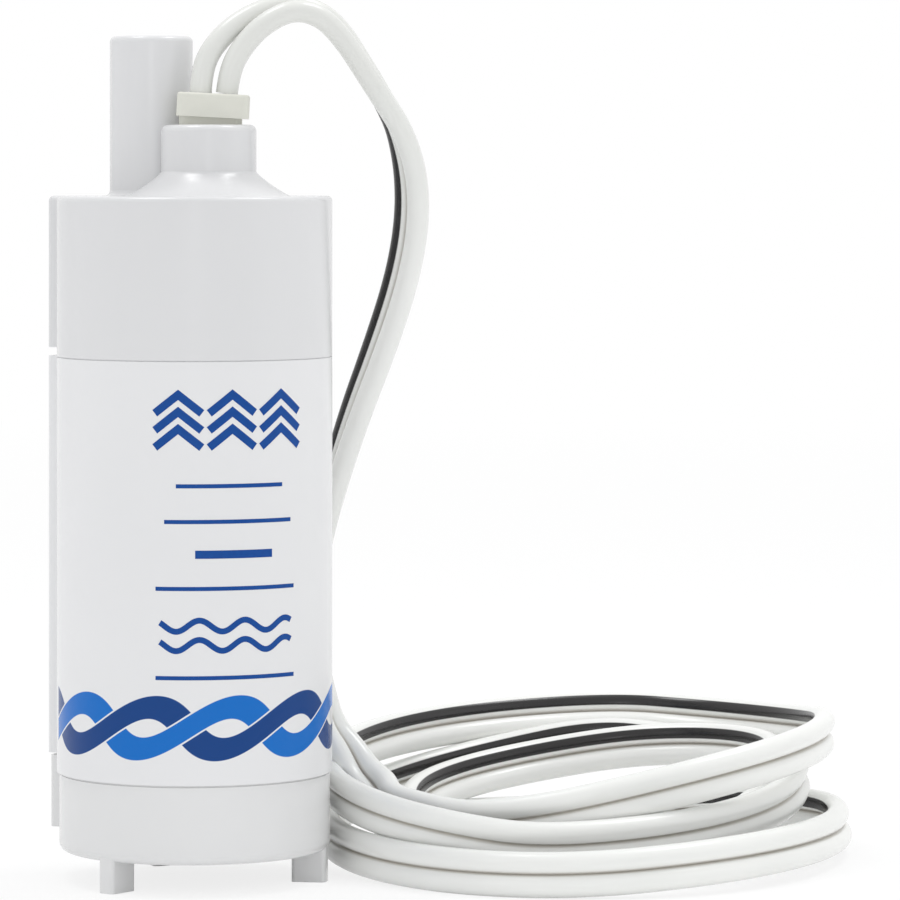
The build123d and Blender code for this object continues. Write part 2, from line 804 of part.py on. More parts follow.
parts = {
    "upper_cap": upper_cap(),
    "pump_body": pump_body(),
    "strainer_base": strainer_base(),
    "base_feet": base_feet(),
    "intake_plate": intake_plate(),
    "lower_gasket": gasket(plate_top, chamber_r, False),
    "upper_gasket": gasket(tube_spigot_top, motor_bore_r, True),
    "cable_grommet": cable_grommet(),
    "entry_resin": entry_resin(),
    "motor_retainer": motor_retainer(),
    "impeller": impeller(),
    "shaft": shaft(),
    "shaft_seal": shaft_seal(),
    "seal_washer": seal_washer(),
    "motor_can": motor_can(),
    "motor_end_cap": motor_end_cap(),
    "front_bearing": front_bearing(),
    "rear_bearing": rear_bearing(),
    "stator_magnets": stator_magnets(),
    "magnet_clip": magnet_clip(),
    "armature_core": armature_core(),
    "armature_windings": armature_windings(),
    "commutator_core": commutator_core(),
    "commutator": commutator(),
    "thrust_washers": thrust_washers(),
    "carbon_brushes": carbon_brushes(),
    "brush_springs": brush_springs(),
    "motor_terminals": motor_terminals(),
    "noise_capacitor": noise_capacitor(),
    "inner_lead_left": inner_lead(-1),
    "inner_lead_right": inner_lead(1),
    "free_core_left": free_core(-1, left_core_route),
    "free_core_right": free_core(1, right_core_route),
    "twin_cable": tube(twin_route, cord_d, "twin cable"),
    "cable_coil": cable_coil(),
    "tail_cores": cord_stub(coil_end[0], stub_l, core_d),
    "copper_ends": cord_stub(coil_end[0] + stub_l, copper_l, copper_d),
}

os.makedirs("parts", exist_ok=True)
for name, shape in parts.items():
    export_step(shape, f"parts/{name}.step")
print(len(parts), "nodes")
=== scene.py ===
# %% [markdown]
# # A submersible pump and its cable
# The pump is a round tube of moulded plastic that stands on three feet. Water comes in at the bottom and
# leaves through the spout on top, where a hose is pushed on. A flat cable of two cores leaves through a
# rubber block beside the spout, hangs down at the side and lies in a loose coil.
# The hard parts come finished from CAD, so Blender gives them their materials. The cable bends freely,
# so its shape is made here. First the imported model is loaded.

# %% Load the imported model
import bpy
import numpy as np
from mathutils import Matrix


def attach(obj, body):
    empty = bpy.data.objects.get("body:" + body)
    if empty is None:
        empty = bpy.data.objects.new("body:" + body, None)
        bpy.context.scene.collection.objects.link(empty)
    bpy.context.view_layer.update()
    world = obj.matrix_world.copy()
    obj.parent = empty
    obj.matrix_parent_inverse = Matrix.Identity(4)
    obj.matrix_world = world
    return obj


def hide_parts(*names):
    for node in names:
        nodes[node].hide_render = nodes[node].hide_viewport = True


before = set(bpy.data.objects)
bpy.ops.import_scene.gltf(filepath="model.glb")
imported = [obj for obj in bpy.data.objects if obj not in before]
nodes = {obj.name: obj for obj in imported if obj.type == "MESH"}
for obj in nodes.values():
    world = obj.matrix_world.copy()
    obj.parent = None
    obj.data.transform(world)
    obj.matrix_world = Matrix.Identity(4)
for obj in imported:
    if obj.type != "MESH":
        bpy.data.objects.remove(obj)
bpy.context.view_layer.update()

# %% [markdown]
# Colours are written as sRGB hex values, as in any drawing program. Blender's shaders calculate with linear
# light, so one function turns a hex value into linear numbers. A second one adds a shader node, sets its
# options and fills or links its inputs, so that each material below reads as a list of steps.

# %% Colour and node helpers
def linear(hex_code):
    """sRGB value c becomes c / 12.92 up to 0.04045, and ((c + 0.055) / 1.055) to the power 2.4 above."""
    c = np.array([int(hex_code[i : i + 2], 16) for i in (1, 3, 5)]) / 255
    light = np.where(c <= 0.04045, c / 12.92, ((c + 0.055) / 1.055) ** 2.4)
    return (*light.tolist(), 1.0)


def add(tree, kind, inputs=(), **settings):
    """Adds a node, applies its settings, and fills each input with a value or links it to a socket."""
    node = tree.nodes.new(kind)
    for name, value in settings.items():
        setattr(node, name, value)
    for key, value in dict(inputs).items():
        if isinstance(value, bpy.types.NodeSocket):
            tree.links.new(value, node.inputs[key])
        else:
            node.inputs[key].default_value = value
    return node


def start_material(name):
    """An empty node material with an output and a Principled shader."""
    material = bpy.data.materials.new(name)
    material.use_nodes = True
    tree = material.node_tree
    tree.nodes.clear()
    shader = add(tree, "ShaderNodeBsdfPrincipled")
    add(tree, "ShaderNodeOutputMaterial", {"Surface": shader.outputs[0]})
    return material, tree, shader


def scale_for(size_mm):
    """In object coordinates, which are metres, a noise of scale 1 has spots about 1 m across, so spots of
    a given size in mm need a scale of 1000 divided by it."""
    return 1000 / size_mm


def dress(names, material):
    """Gives CAD nodes a material in place of the one that they came with."""
    for name in names:
        mesh = nodes[name].data
        mesh.materials.clear()
        mesh.materials.append(material)


print("mid grey #808080 as light", round(linear("#808080")[0], 3))

# %% [markdown]
# The camera stands low and a little right of the pump, and looks straight ahead, so upright edges stay
# upright. The picture is moved with shift instead of tilting the camera, as with a shift lens.

# %% Camera
camera_data = bpy.data.cameras.new("eye")
camera_data.lens = 203.9
camera_data.sensor_width = 36
camera_data.shift_y = -0.3238
camera_data.clip_end = 20
camera = bpy.data.objects.new("eye", camera_data)
camera.location = (0.03525, -0.704, 0.09945)
camera.rotation_euler = (np.pi / 2, 0, 0)
bpy.context.scene.collection.objects.link(camera)
bpy.context.scene.camera = camera
print("eye height in mm", camera.location.z * 1000)

# %% [markdown]
# The pump is pale, so it is lit softly from all sides: a bright, even room, two lamps above whose glints
# show on the boss, a larger one at the front left that throws the pump's soft shadow on the cable, a weak
# one at the right and a small one near the camera. The floor bends up into a wall far behind, so no line
# shows where they meet. To the camera and in reflections the room and part of the floor glow white, and the
# floor still takes shadows.

# %% Floor, room and lamps
def grid_faces(rows, columns, closed=False):
    """The quads of a grid of points stored row by row: each joins a point, its neighbour along the row
    and the two behind them. A closed grid's last column joins its first."""
    i, j = np.meshgrid(np.arange(rows - 1), np.arange(columns if closed else columns - 1), indexing="ij")
    k = (j + 1) % columns
    here, behind = i * columns, (i + 1) * columns
    return np.stack([here + j, here + k, behind + k, behind + j], -1).reshape(-1, 4)


def make_mesh(name, points, faces):
    """A mesh object from an array of points in metres and a list or array of faces."""
    mesh = bpy.data.meshes.new(name)
    corners = np.asarray(points).reshape(-1, 3).tolist()
    sides = [list(face) for face in np.asarray(faces, object)]
    mesh.from_pydata(corners, [], sides)
    mesh.update()
    made = bpy.data.objects.new(name, mesh)
    bpy.context.scene.collection.objects.link(made)
    return made


def studio_sweep():
    """The floor, and behind it a quarter circle of radius 1 m up into a wall, as rows along Y."""
    bend = np.linspace(0, np.pi / 2, 24)
    y = np.concatenate([[-2.0], 1.6 + np.sin(bend), [2.6]])
    z = np.concatenate([[0.0], 1 - np.cos(bend), [3.0]])
    x = np.linspace(-3, 3, 5)
    points = np.stack(np.broadcast_arrays(x[None, :], y[:, None], z[:, None]), -1)
    return make_mesh("studio_floor", points, grid_faces(len(y), len(x)))


floor = studio_sweep()
floor.data.polygons.foreach_set("use_smooth", [True] * len(floor.data.polygons))
paper, tree, shader = start_material("white_studio_paper")
shader.inputs["Base Color"].default_value = linear("#F8F8F8")
shader.inputs["Roughness"].default_value = 0.9
glow = add(tree, "ShaderNodeEmission", {"Color": (1, 1, 1, 1), "Strength": 1.0})
rays = add(tree, "ShaderNodeLightPath")
place = add(tree, "ShaderNodeTexCoord")
spot = add(tree, "ShaderNodeSeparateXYZ", {0: place.outputs["Object"]})
behind = add(
    tree, "ShaderNodeMapRange",
    {"Value": spot.outputs["Y"], "From Min": 0.1, "From Max": 1.2, "To Min": 0.80, "To Max": 1.0},
)
looked_at = add(
    tree, "ShaderNodeMath",
    {0: rays.outputs["Is Camera Ray"], 1: rays.outputs["Is Glossy Ray"]},
    operation="MAXIMUM",
)
# to the eye the floor glows white far behind, and only in part near the pump, where its shadow has to show
share = add(tree, "ShaderNodeMath", {0: looked_at.outputs[0], 1: behind.outputs[0]}, operation="MULTIPLY")
both = add(tree, "ShaderNodeMixShader", {0: share.outputs[0], 1: shader.outputs[0], 2: glow.outputs[0]})
tree.links.new(both.outputs[0], tree.nodes["Material Output"].inputs["Surface"])
floor.data.materials.append(paper)

world = bpy.data.worlds.new("bright_room")
bpy.context.scene.world = world
world.use_nodes = True
tree = world.node_tree
tree.nodes.clear()
room = add(tree, "ShaderNodeBackground", {"Color": linear("#FAFBFC"), "Strength": 0.80})
seen = add(tree, "ShaderNodeBackground", {"Color": (1, 1, 1, 1), "Strength": 1.0})
rays = add(tree, "ShaderNodeLightPath")
direct = add(
    tree, "ShaderNodeMath",
    {0: rays.outputs["Is Camera Ray"], 1: rays.outputs["Is Transmission Ray"]},
    operation="MAXIMUM",
)
shown = add(
    tree, "ShaderNodeMath", {0: direct.outputs[0], 1: rays.outputs["Is Glossy Ray"]}, operation="MAXIMUM"
)
mix = add(tree, "ShaderNodeMixShader", {0: shown.outputs[0], 1: room.outputs[0], 2: seen.outputs[0]})
add(tree, "ShaderNodeOutputWorld", {"Surface": mix.outputs[0]})

# name, place in metres, width and height in metres, power in watts
lamps = [
    ("top_left", (-0.3, 0.1, 1.05), (0.3, 0.3), 2.3),
    ("top_right", (0.4, 0.18, 1.0), (0.3, 0.3), 2.3),
    ("key_front_left", (-0.9, -1.0, 0.55), (0.5, 0.5), 0.6),
    ("small_front", (0.06, -1.3, 0.24), (0.10, 0.10), 0.4),
    ("right_fill", (0.9, -0.3, 0.35), (0.7, 0.7), 0.4),
]
lit_spot = np.array((0.02, 0, 0.05))
for name, stand, size, power in lamps:
    light = bpy.data.lights.new(name, "AREA")
    light.shape = "RECTANGLE"
    light.size, light.size_y = size
    light.energy = power
    lamp = bpy.data.objects.new(name, light)
    away = np.array(stand) - lit_spot
    tilt = np.arctan2(np.hypot(*away[:2]), away[2])
    lamp.location = stand
    lamp.rotation_euler = (tilt, 0, np.arctan2(away[1], away[0]) + np.pi / 2)
    bpy.context.scene.collection.objects.link(lamp)

bpy.context.scene.view_settings.view_transform = "Standard"
print("lamps", len(lamps), "with watts in all", sum(lamp[3] for lamp in lamps))

# %% [markdown]
# ## The cable's route
# The cable is a flat twin flex: two cores of 3.1 mm, side by side. At the pump the two cores are torn apart
# and enter the rubber block one by one. The route is a NURBS curve, which runs smoothly inside its control
# points as a limp cable does. Its control points come first: the two short arches and the hanging part.

# %% Routes of the two cores and of the hanging cable
def unit(v):
    """Each vector divided by its length."""
    return v / np.linalg.norm(v, axis=-1, keepdims=True)


core_d = 0.0031
core_spread = 0.00306
# each torn core runs straight for its last 2.9 mm, and the last half millimetre lies in the twin
straight_run = np.array([-0.0024, 0.0005])
hanging_route = np.array([
    (24.4, 2.9, 110.2), (26.4, 4.0, 107.0), (28.5, 5.6, 103.0), (29.9, 8.0, 97.0), (29.9, 10.0, 90.1),
    (28.4, 12.0, 82.2), (25.5, 13.9, 73.3), (21.4, 15.7, 62.3), (18.2, 16.8, 51.6), (16.4, 17.4, 43.0),
    (15.7, 17.6, 36.0), (15.9, 17.3, 29.5), (16.8, 16.4, 24.6),
]) / 1000
joint_way = unit(hanging_route[1] - hanging_route[0])
joint_hint = np.array((0.07, 0.99, 0.0))
joint_hint = unit(joint_hint - np.dot(joint_hint, joint_way) * joint_way)
straight = straight_run[:, None] * joint_way
right_end = hanging_route[0] - joint_hint * core_spread / 2 + straight
left_end = hanging_route[0] + joint_hint * core_spread / 2 + straight
right_core_route = np.vstack([np.array([
    (4.58, -3.4, 108.4), (4.9, -3.4, 111.2), (6.3, -3.3, 114.3), (9.3, -2.8, 117.8), (13.6, -2.0, 120.1),
    (17.6, -1.0, 119.1), (20.6, -0.1, 115.9),
]) / 1000, right_end])
left_core_route = np.vstack([np.array([
    (0.98, -3.4, 108.4), (1.1, -3.3, 111.4), (2.5, -2.6, 114.8), (5.6, -1.2, 118.0), (9.7, 0.4, 120.2),
    (14.1, 1.8, 120.8), (18.0, 2.8, 119.4), (20.7, 3.3, 116.4),
]) / 1000, left_end])
print("control points of the hanging part", len(hanging_route))

# %% [markdown]
# The coil has four loose turns. Each turn is known at four places: its front, right, back and left. From one
# place to the next the cable runs along a quarter of an ellipse, so it leaves and arrives square to the
# turn's axes. Its height goes through the two places and a third one half way, because the turns rest on
# each other there. A limp coil also leans outwards at the top, most of all where it rises at the back.

# %% Route of the coil
# x, y and z of a place and the height half way to the next one, in mm, then the lean, which is how far the
# top goes outwards for 1 upwards. Nothing follows the last place, so its fourth value has no use.
coil_turns = np.array([
    (58.3, -6.9, 11.7, 16.2, 0.07), (89.2, 25.0, 17.9, 16.2, 0.02),
    (60.4, 59.8, 16.7, 15.4, 0.63), (17.5, 17.0, 12.9, 9.2, 0.08),
    (46.7, -12.1, 6.1, 7.8, 0.28), (86.0, 29.9, 11.3, 11.8, -0.08),
    (57.1, 54.7, 13.6, 8.5, 0.22), (17.2, 19.0, 5.0, 3.2, 0.03),
    (53.8, -19.7, 3.2, 4.6, -0.18), (91.8, 29.5, 4.2, 5.0, -0.15),
    (56.7, 43.6, 3.1, 3.1, 0.17), (25.2, 22.0, 3.2, 3.1, 0.09),
    (51.3, -6.6, 3.1, 6.1, 0.06), (82.5, 29.9, 13.0, 13.6, 0.06),
    (59.5, 48.8, 12.5, 9.4, 0.26), (29.8, 23.8, 7.0, 6.0, 0.46),
])
coil_lean = coil_turns[:, 4]
coil_turns = coil_turns[:, :4] / 1000
coil_ways = np.tile([(1, 0, 0), (0, 1, 0), (-1, 0, 0), (0, -1, 0)], (4, 1))
per_quarter = 4


def coil_route():
    """From each place to the next, with the turn's angle a going from 0 to a quarter turn: the part of the
    way along the first heading grows with sin a, the part along the second with 1 - cos a. The height
    is the parabola through the first place, the half way one and the second place."""
    share = np.arange(per_quarter) / per_quarter
    a = share * np.pi / 2
    begin, end = coil_turns[:-1], coil_turns[1:]
    gap = (end - begin)[:, :3]
    first, second = coil_ways[:-1], coil_ways[1:]
    along = np.sum(gap * first, axis=1, keepdims=True) * first
    across = np.sum(gap * second, axis=1, keepdims=True) * second
    rise, fall = np.sin(a)[None, :, None], (1 - np.cos(a))[None, :, None]
    points = begin[:, None, :3] + along[:, None, :] * rise + across[:, None, :] * fall
    low, half, high = begin[:, 2:3], begin[:, 3:4], end[:, 2:3]
    ease = (1 - share) * (1 - 2 * share), 4 * share * (1 - share), share * (2 * share - 1)
    points[:, :, 2] = low * ease[0] + half * ease[1] + high * ease[2]
    return points.reshape(-1, 3)


entry_points = np.array([
    (18.1, 15.5, 19.3), (20.9, 13.6, 16.1), (22.9, 11.3, 13.0), (25.3, 7.3, 11.5), (26.5, 3.0, 9.8),
    (31.6, -1.7, 9.0), (37.8, -5.1, 8.2), (47.7, -7.5, 9.5),
]) / 1000
tail_points = np.vstack([coil_turns[-1, :3], np.array([
    (29.7, 17.0, 5.5), (31.5, 10.4, 3.8), (35.8, 5.9, 2.6), (41.0, 4.1, 1.8), (47.3, 4.1, 1.55),
]) / 1000])
twin_route = np.vstack([hanging_route, entry_points, coil_route(), tail_points])
print("control points of the twin cable", len(twin_route))

# %% [markdown]
# A NURBS curve of order 3 is smooth enough for a cable. Blender turns it into a line of points, which is
# then divided into equal steps, so that the tube's rings stand evenly. The same is done with the hints, which
# say how the cable is turned at each point of its route.

# %% Read a smooth line from a NURBS curve
def nurbs_points(name, controls):
    """The points that Blender gives, at even steps of its parameter, for a NURBS with these controls."""
    curve = bpy.data.curves.new(name, "CURVE")
    curve.dimensions = "3D"
    curve.resolution_u = 16
    spline = curve.splines.new("NURBS")
    spline.points.add(len(controls) - 1)
    spline.points.foreach_set("co", np.hstack([controls, np.ones((len(controls), 1))]).ravel())
    spline.order_u = 3
    spline.use_endpoint_u = True
    holder = bpy.data.objects.new(name, curve)
    bpy.context.scene.collection.objects.link(holder)
    bpy.context.view_layer.update()
    mesh = bpy.data.meshes.new_from_object(holder)
    points = np.empty(len(mesh.vertices) * 3)
    mesh.vertices.foreach_get("co", points)
    bpy.data.objects.remove(holder)
    bpy.data.meshes.remove(mesh)
    return points.reshape(-1, 3)


def smooth_line(name, route, hints, step):
    """The NURBS with the route's points as control points, divided into equal steps. The hints, one for each
    control point, are smoothed by a NURBS of their own, so that they turn as evenly as the line does."""
    points, turning = nurbs_points(name, route), nurbs_points(name, hints)
    run = np.concatenate([[0], np.cumsum(np.linalg.norm(np.diff(points, axis=0), axis=1))])
    even = np.linspace(0, run[-1], max(8, int(run[-1] / step)))
    line, turned = (
        np.stack([np.interp(even, run, values[:, k]) for k in range(3)], 1) for values in (points, turning)
    )
    print(name, "length in mm", round(run[-1] * 1000, 1))
    return line, even, turned


# %% [markdown]
# Tubes are sections carried along a line. Each ring needs two directions square to the line: one is given
# by a hint that is first made square to the line, the other is their cross product. A UV map holds the
# place round the section and the metres along the cable, so that a printed stripe can follow the twist. The
# torn cores are a hair thinner than those of the twin, because their ends go half a millimetre into it, and
# the twin swells to its full size over its first 4 mm, so that no step shows.

# %% Carry a section along a line
core_sides = 20
# where the end faces lie on the map: half way between a twin's two grooves, clear of the stripe
cap_place = 0.25


def carried_tube(name, line, even, hints, section, swell=1.0):
    """Point i, j is line i plus section j's first value times the hint direction and its second value times
    the cross product of the hint with the line's own direction, all times the swell there. Both ends are
    closed by one face with a sharp rim, so that the tube's own shading stays even up to its ends."""
    way = unit(np.gradient(line, axis=0))
    hint = unit(hints - np.sum(hints * way, axis=1, keepdims=True) * way)
    side = np.cross(hint, way)
    size = np.broadcast_to(swell, len(line))[:, None, None]
    offset = section[None, :, :1] * hint[:, None, :] + section[None, :, 1:] * side[:, None, :]
    rings = line[:, None, :] + size * offset
    count = len(section)
    faces = grid_faces(len(line), count, closed=True)
    caps = [list(range(count))[::-1], list(range((len(line) - 1) * count, len(line) * count))]
    made = make_mesh(name, rings, [list(f) for f in faces.tolist()] + caps)
    around = np.tile(np.array([0, 1, 1, 0]), len(faces)) + np.repeat(faces[:, 0] % count, 4)
    along = np.repeat(faces[:, 0] // count, 4) + np.tile(np.array([0, 0, 1, 1]), len(faces))
    uv = np.stack([around / count, even[along]], 1)
    uv = np.vstack([uv, np.tile([[cap_place, 0.0]], (2 * count, 1))])
    layer = made.data.uv_layers.new(name="round_and_along")
    layer.data.foreach_set("uv", uv.ravel())
    smooth = np.ones(len(faces) + 2, bool)
    smooth[-2:] = False
    made.data.polygons.foreach_set("use_smooth", smooth)
    ends = np.empty(len(made.data.edges) * 2, int)
    made.data.edges.foreach_get("vertices", ends)
    ring = ends.reshape(-1, 2) // count
    made.data.edges.foreach_set("use_edge_sharp", (ring == 0).all(1) | (ring == len(line) - 1).all(1))
    return made


def circle_section(diameter):
    """Points at even angles round a circle."""
    a = np.arange(core_sides) / core_sides * 2 * np.pi
    return np.stack([np.cos(a), np.sin(a)], 1) * diameter / 2


torn_step = 0.0008
torn_d = core_d - 0.00004
sideways = np.array([(0.0, 1.0, 0.0)])
right_line, right_even, right_hints = smooth_line(
    "right_core", right_core_route, np.repeat(sideways, len(right_core_route), 0), torn_step
)
left_line, left_even, left_hints = smooth_line(
    "left_core", left_core_route, np.repeat(sideways, len(left_core_route), 0), torn_step
)
right_core = carried_tube("right_core", right_line, right_even, right_hints, circle_section(torn_d))
left_core = carried_tube("left_core", left_line, left_even, left_hints, circle_section(torn_d))

# %% [markdown]
# The twin's section is a figure of eight: two round cores that overlap a little, with a crisp groove
# between them where they can be torn apart. It twists slowly as it hangs and then lies on its edge in the
# coil, so each place on the route gets a hint, the way from the plain core to the striped one.

# %% The twin cable
def figure_eight(diameter, spread):
    """Two circles whose centres are spread apart. Each is walked from groove to groove, so a point lies
    in each groove and the rest are at even angles."""
    r = diameter / 2
    c = spread / 2
    groove = np.arctan2(-c, np.sqrt(r * r - c * c))
    a = np.linspace(groove, np.pi - groove, core_sides + 1)[:-1]
    striped = np.stack([c + r * np.sin(a), r * np.cos(a)], 1)
    return np.vstack([striped, -striped])


twin_step = 0.0011
swell_run = 0.004
coil_middle = np.array([0.054, 0.021])
# the way from the plain core to the striped one at each point of the route
hanging_hints = np.array([
    tuple(joint_hint), (0.0, 1, 0), (-0.25, 0.95, 0), (-0.52, 0.82, 0), (-0.6, 0.8, 0),
    (-0.6, 0.8, 0), (-0.6, 0.8, 0), (-0.5, 0.85, 0), (-0.3, 0.95, 0), (-0.1, 1, 0),
    (0.1, 1, 0), (0.3, 0.95, 0), (0.35, 0.95, 0),
])
entry_hints = np.array([
    (0.55, 0.85, 0), (0.7, 0.6, 0.1), (0.8, 0.4, 0.4), (0.65, 0.3, 0.8), (0.4, 0.15, 0.95), (0.2, 0.05, 1),
    (0, 0, 1), (0, 0, 1),
])
coil_points = coil_route()
outward = unit(coil_points[:, :2] - coil_middle)
lean_now = np.interp(np.arange(len(coil_points)) / per_quarter, np.arange(len(coil_lean)), coil_lean)
coil_hints = np.hstack([outward * lean_now[:, None], np.ones((len(coil_points), 1))])
tail_hints = np.array([
    (*(outward[-1] * coil_lean[-1]), 1), (0, 0, 1), (0.3, 0.3, 0.9), (0.2, 0.7, 0.6), (0, 1, 0.15), (0, 1, 0),
])
route_hints = np.vstack([hanging_hints, entry_hints, coil_hints, tail_hints])
twin_line, twin_even, twin_hints = smooth_line("twin_cable", twin_route, route_hints, twin_step)
swell = np.interp(twin_even, [0, swell_run], [torn_d / core_d, 1])
twin_section = figure_eight(core_d, core_spread)
twin_cable = carried_tube("twin_cable_tube", twin_line, twin_even, twin_hints, twin_section, swell)

# %% [markdown]
# Turns that lie loosely touch, but they can't pass through each other or through the pump. The distances
# between the cores' middle lines show whether they do: less than a core's thickness is an overlap.

# %% Measure the gaps
cap_top = 0.094
pump_r = 0.019
same_stretch = 0.014
way = unit(np.gradient(twin_line, axis=0))
hint = unit(twin_hints - np.sum(twin_hints * way, axis=1, keepdims=True) * way)
centres = np.concatenate([twin_line + hint * core_spread / 2, twin_line - hint * core_spread / 2])
both_even = np.concatenate([twin_even, twin_even])
far = np.linalg.norm(centres[:, None, :] - centres[None], axis=-1)
far[np.abs(both_even[:, None] - both_even[None]) < same_stretch] = np.inf
i, j = np.unravel_index(np.argmin(far), far.shape)
print("least gap between turns in mm", round((far.min() - core_d) * 1000, 2))
print("it is between", centres[i] * 1000, "and", centres[j] * 1000)
beside = centres[centres[:, 2] < cap_top]
from_pump = np.hypot(beside[:, 0], beside[:, 1]).min() - core_d / 2 - pump_r
print("gap between cable and pump in mm", round(from_pump * 1000, 2))
print("lowest point in mm", round((centres[:, 2].min() - core_d / 2) * 1000, 2))

# %% [markdown]
# ## Soft PVC
# The cable's sheath is soft PVC, extruded round copper strands. It is white with a broad, waxy shine, and one
# core carries a black stripe along its side, so that the two can be told apart. A warm grey painted shade
# lies in the grooves between the cores. The stripe follows the UV map, where the place round the section is
# known.
# The tone drifts over 17 mm and the extruder's ripples in the shine are 3 mm long.

# %% Extruded PVC, plain and striped
# the first metres of the twin that hands keep dull, and how strong the painted shade in a groove is
handled_run = 0.03
groove_shade_share = 0.7
# places and widths round the section, as shares of the whole way round
grooves_apart = 0.5
# painted shade in the grooves: full up to the first distance from a groove, gone at the second
groove_shade_near, groove_shade_far = 0.012, 0.045
stripe_at, stripe_half, stripe_soft = 0.114, 0.046, 0.004


def extruded_pvc(name, deep, pale, is_twin=False):
    """White PVC with slight waves of the extruder in its shine. A twin's place round the section is 0 and 0.5
    in the grooves, which get a painted shade. It is black near the stripe's middle, and as dull as the torn
    cores over its first 3 cm, where hands hold it."""
    material, tree, shader = start_material(name)
    place = add(tree, "ShaderNodeTexCoord")
    spot = place.outputs["Object"]
    cloud = add(tree, "ShaderNodeTexNoise", {"Vector": spot, "Scale": scale_for(17), "Detail": 2.0})
    tone = add(
        tree, "ShaderNodeMix",
        {"Factor": cloud.outputs["Fac"], "A": linear(deep), "B": linear(pale)},
        data_type="RGBA",
    )
    colour = tone.outputs["Result"]
    if is_twin:
        parts = add(tree, "ShaderNodeSeparateXYZ", {0: place.outputs["UV"]})
        near = add(
            tree, "ShaderNodeMapRange",
            {"Value": parts.outputs["Y"], "From Min": 0.0, "From Max": handled_run,
             "To Min": 1.0, "To Max": 0.0},
        )
        handled = add(
            tree, "ShaderNodeMix",
            {"Factor": near.outputs[0], "A": colour, "B": linear("#E4E5E1")},
            data_type="RGBA",
        )
        colour = handled.outputs["Result"]
        # painted shade: a warm grey mixed in along both grooves stands in for the shade between the two cores
        to_groove = add(
            tree, "ShaderNodeMath", {0: parts.outputs["X"], 1: grooves_apart / 2}, operation="PINGPONG"
        )
        groove_shade = add(
            tree, "ShaderNodeMapRange",
            {"Value": to_groove.outputs[0], "From Min": groove_shade_near, "From Max": groove_shade_far,
             "To Min": groove_shade_share, "To Max": 0.0},
        )
        groove_shaded = add(
            tree, "ShaderNodeMix",
            {"Factor": groove_shade.outputs[0], "A": colour, "B": linear("#A59B8C")},
            data_type="RGBA",
        )
        colour = groove_shaded.outputs["Result"]
        off = add(tree, "ShaderNodeMath", {0: parts.outputs["X"], 1: stripe_at}, operation="SUBTRACT")
        size = add(tree, "ShaderNodeMath", {0: off.outputs[0]}, operation="ABSOLUTE")
        edge = add(
            tree, "ShaderNodeMapRange",
            {"Value": size.outputs[0], "From Min": stripe_half - stripe_soft,
             "From Max": stripe_half + stripe_soft, "To Min": 1.0, "To Max": 0.0},
        )
        striped = add(
            tree, "ShaderNodeMix",
            {"Factor": edge.outputs[0], "A": colour, "B": linear("#131112")},
            data_type="RGBA",
        )
        colour = striped.outputs["Result"]
    tree.links.new(colour, shader.inputs["Base Color"])
    shader.inputs["Roughness"].default_value = 0.25
    shader.inputs["IOR"].default_value = 1.53
    ripple = add(tree, "ShaderNodeTexNoise", {"Vector": spot, "Scale": scale_for(3), "Detail": 3.0})
    height = ripple.outputs["Fac"]
    bump = add(tree, "ShaderNodeBump", {"Strength": 0.06, "Distance": 0.0003, "Height": height})
    tree.links.new(bump.outputs[0], shader.inputs["Normal"])
    return material


plain_pvc = extruded_pvc("extruded_white_pvc", "#E0E1DD", "#E8E8E4")
striped_pvc = extruded_pvc("extruded_striped_pvc", "#ECEDEA", "#F4F4F1", is_twin=True)
for piece, material in [(right_core, plain_pvc), (left_core, plain_pvc), (twin_cable, striped_pvc)]:
    piece.data.materials.append(material)
    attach(piece, "housing")
dress(["tail_cores", "inner_lead_left", "inner_lead_right"], plain_pvc)
print("nodes of the striped PVC", len(striped_pvc.node_tree.nodes))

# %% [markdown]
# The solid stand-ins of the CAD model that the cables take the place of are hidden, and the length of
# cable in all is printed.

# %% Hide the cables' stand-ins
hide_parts("free_core_right")
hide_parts("free_core_left")
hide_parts("twin_cable", "cable_coil")
print("metres of cable in all", round(float(right_even[-1] + left_even[-1] + twin_even[-1]), 3))

# %% [markdown]
# ## Moulded ABS
# The shells are moulded from white ABS: a clean white with a satin shine, whose tone drifts over a few
# centimetres. Moulded skin is never quite flat, so a very weak bump 18 mm wide bends the reflections, and a
# finer one gives the mould's grain. The real grain is finer than a tenth of a millimetre and wouldn't show,
# so it is drawn at 0.45 mm.

# %% Moulded white ABS
grain_share = 0.04


def moulded_abs(name, pale, deep):
    """White plastic whose tone drifts between two values over a few centimetres. The bump's height is the
    wide noise plus a small share of the fine one."""
    material, tree, shader = start_material(name)
    place = add(tree, "ShaderNodeTexCoord")
    spot = place.outputs["Object"]
    cloud = add(tree, "ShaderNodeTexNoise", {"Vector": spot, "Scale": scale_for(36), "Detail": 3.0})
    tone = add(
        tree, "ShaderNodeMix",
        {"Factor": cloud.outputs["Fac"], "A": linear(deep), "B": linear(pale)},
        data_type="RGBA",
    )
    tree.links.new(tone.outputs["Result"], shader.inputs["Base Color"])
    shader.inputs["Roughness"].default_value = 0.24
    shader.inputs["IOR"].default_value = 1.52
    wide = add(tree, "ShaderNodeTexNoise", {"Vector": spot, "Scale": scale_for(18), "Detail": 1.0})
    grain = add(tree, "ShaderNodeTexNoise", {"Vector": spot, "Scale": scale_for(0.45), "Detail": 2.0})
    sum_of = add(
        tree, "ShaderNodeMath",
        {0: grain.outputs["Fac"], 1: grain_share, 2: wide.outputs["Fac"]},
        operation="MULTIPLY_ADD",
    )
    bump = add(tree, "ShaderNodeBump", {"Strength": 0.10, "Distance": 0.0004, "Height": sum_of.outputs[0]})
    tree.links.new(bump.outputs[0], shader.inputs["Normal"])
    return material, tree, shader, place, tone


shell_abs, *_ = moulded_abs("moulded_white_abs", "#E6E6E6", "#E0E0E0")
dress(["strainer_base", "base_feet"], shell_abs)
cap_abs, *_ = moulded_abs("moulded_cap_abs", "#E2E2E3", "#DCDCDD")
dress(["upper_cap"], cap_abs)
print("nodes of the ABS", len(shell_abs.node_tree.nodes))

